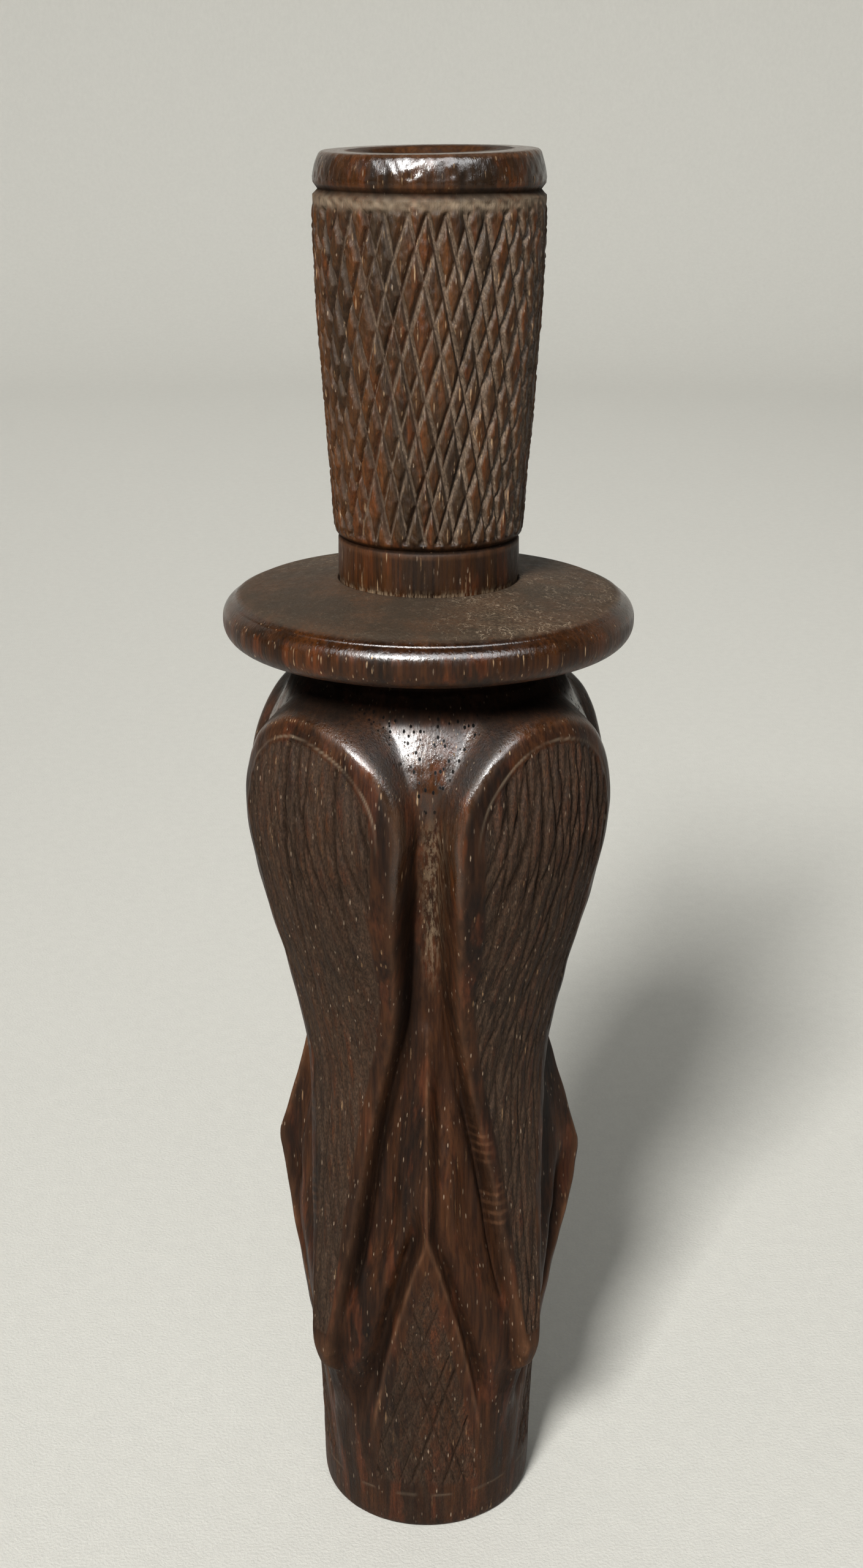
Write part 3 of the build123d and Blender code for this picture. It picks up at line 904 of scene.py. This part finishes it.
def backdrop_cloth():
    """Pale cloth with a faint uneven weave."""
    n = Nodes("backdrop_cloth")
    threads = n.noise(0.40, 0.40, 2.0, 0.6, 0.0)
    slubs = n.noise(2.0, 9.0, 3.0, 0.6, 2.0)
    tone = n.math("MULTIPLY_ADD", threads, 0.6, n.times(slubs, 0.4))
    thick, thin = rgb(0.60, 0.595, 0.56), rgb(0.655, 0.65, 0.61)
    n.put(n.shader, "Base Color", n.mix(n.window(tone, 0.25, 0.75), thick, thin))
    n.put(n.shader, "Roughness", 0.9)
    n.put(n.shader, "Specular IOR Level", 0.1)
    n.relief(threads, 0.35, 0.25)
    return n.material


def dress(piece, material):
    piece.data.materials.clear()
    piece.data.materials.append(material)


# ---------------------------------------------------------------- stage, light, camera

def make_backdrop():
    """Pale cloth floor that curves up all round, well outside any camera."""
    flat, curve, height, sides, bends = 0.9, 0.35, 1.3, 96, 16
    profile = [(0.3, 0.0), (0.6, 0.0)]
    for i in range(bends + 1):
        angle = math.radians(90 * i / bends)
        profile.append((flat + curve * math.sin(angle), curve * (1 - math.cos(angle))))
    profile.append((flat + curve, height))
    vertices = [
        (r * math.cos(2 * math.pi * k / sides), r * math.sin(2 * math.pi * k / sides), z)
        for r, z in profile
        for k in range(sides)
    ]
    faces = [tuple(range(sides))]
    for i in range(len(profile) - 1):
        inner, outer = i * sides, (i + 1) * sides
        for k in range(sides):
            next_k = (k + 1) % sides
            faces.append((inner + k, outer + k, outer + next_k, inner + next_k))
    mesh = bpy.data.meshes.new("backdrop")
    mesh.from_pydata(vertices, [], faces)
    for face in mesh.polygons:
        face.use_smooth = True
    floor = bpy.data.objects.new("backdrop", mesh)
    bpy.context.collection.objects.link(floor)
    dress(floor, backdrop_cloth())


CALL_CENTRE = (0, 0, 0.075)
BACK_WALL = (0, 1.15, 0.2)
FRONT_WALL = (0, -1.15, 0.2)
WARM_WHITE = (1.0, 0.985, 0.95)
WASH_WHITE = (1.0, 0.99, 0.97)
COOL_WHITE = (0.97, 0.985, 1.0)


def area_light(name, direction, distance, size, power, colour, centre=CALL_CENTRE, spread=180):
    """A soft window facing centre, in metres and watts.

    direction is azimuth, 0 in front (-Y) and negative to the left, and elevation, in degrees.
    """
    a, e = (math.radians(angle) for angle in direction)
    way = Vector((math.sin(a) * math.cos(e), -math.cos(a) * math.cos(e), math.sin(e)))
    data = bpy.data.lights.new(name, "AREA")
    data.shape = "RECTANGLE"
    data.size, data.size_y = size
    data.energy = power
    data.spread = math.radians(spread)
    data.color = colour
    lamp = bpy.data.objects.new(name, data)
    lamp.location = Vector(centre) + way * distance
    lamp.rotation_euler = way.to_track_quat("Z", "Y").to_euler()
    bpy.context.collection.objects.link(lamp)
    return lamp


def light_stage():
    """One key window from the left, weak fills, washes on the walls, and a glossy-only window."""
    area_light("key_window", (-19, 38), 1.35, (0.28, 0.24), 4.4, WARM_WHITE, spread=75)
    area_light("front_window", (-2, 46), 0.95, (0.75, 0.20), 0.8, (0.96, 0.98, 1.0))
    area_light("left_window", (-75, 30), 0.85, (0.30, 0.40), 0.15, (0.97, 0.98, 1.0))
    wash = {"size": (1.4, 0.4), "colour": WASH_WHITE}
    area_light("backdrop_wash", (-20, 40), 1.05, power=4.4, centre=BACK_WALL, spread=145, **wash)
    area_light("front_wash", (160, 40), 1.05, power=1.2, centre=FRONT_WALL, spread=120, **wash)
    sheen = area_light("sheen_window", (0, 50), 0.95, (1.5, 0.42), 20.0, COOL_WHITE)
    sheen.visible_diffuse = False
    world = bpy.data.worlds.new("studio")
    world.use_nodes = True
    sky = world.node_tree.nodes["Background"]
    sky.inputs["Color"].default_value = (0.95, 0.97, 1.0, 1.0)
    sky.inputs["Strength"].default_value = 0.055
    bpy.context.scene.world = world
    bpy.context.scene.view_settings.view_transform = "Standard"


CAMERA_PLACE = (0, -0.2107, 0.1625)
CAMERA_DOWN = 19.25
CAMERA_ROLL = 0.14


def make_camera():
    """Looks down on the call from close in front, from a little above its top."""
    data = bpy.data.cameras.new("camera")
    data.lens = 46.97
    data.sensor_width = 36.0
    data.shift_x = 0.0022
    data.shift_y = -0.0021
    data.clip_start = 0.01
    camera = bpy.data.objects.new("camera", data)
    camera.location = CAMERA_PLACE
    camera.rotation_mode = "XYZ"
    camera.rotation_euler = (math.radians(90 - CAMERA_DOWN), 0, 0)
    turned = camera.rotation_euler.to_matrix() @ Matrix.Rotation(math.radians(CAMERA_ROLL), 3, "Z")
    camera.rotation_euler = turned.to_euler()
    bpy.context.collection.objects.link(camera)
    bpy.context.scene.camera = camera


# ---------------------------------------------------------------- making

make_camera()
light_stage()
make_backdrop()

barrel = make_barrel()
dress(barrel, carved_wood(
    "barrel_walnut",
    dark=rgb(0.0100, 0.0044, 0.0021),
    warm=rgb(0.040, 0.0146, 0.0050),
    red=rgb(0.066, 0.0195, 0.0074),
    grey=rgb(0.029, 0.0175, 0.0102),
    raw_tone=rgb(0.042, 0.0260, 0.0165),
))
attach(barrel, "barrel")
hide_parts("barrel")

stopper = make_stopper()
dress(stopper, carved_wood(
    "stopper_walnut",
    dark=rgb(0.015, 0.0070, 0.0028),
    warm=rgb(0.052, 0.0195, 0.0054),
    red=rgb(0.088, 0.0260, 0.0068),
    grey=rgb(0.045, 0.0290, 0.0170),
    raw_tone=rgb(0.125, 0.0930, 0.0670),
))
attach(stopper, "stopper")
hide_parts("stopper")

trough_wood = plain_wood("trough_wood", rgb(0.10, 0.05, 0.028), rgb(0.22, 0.12, 0.07))
dress(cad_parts["tone_trough"], trough_wood)
wedge_maple = plain_wood("wedge_maple", rgb(0.25, 0.15, 0.08), rgb(0.42, 0.28, 0.16))
dress(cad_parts["wedge_block"], wedge_maple)

reed = make_reed()
dress(reed, rolled_brass())
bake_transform(reed)
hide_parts("reed")
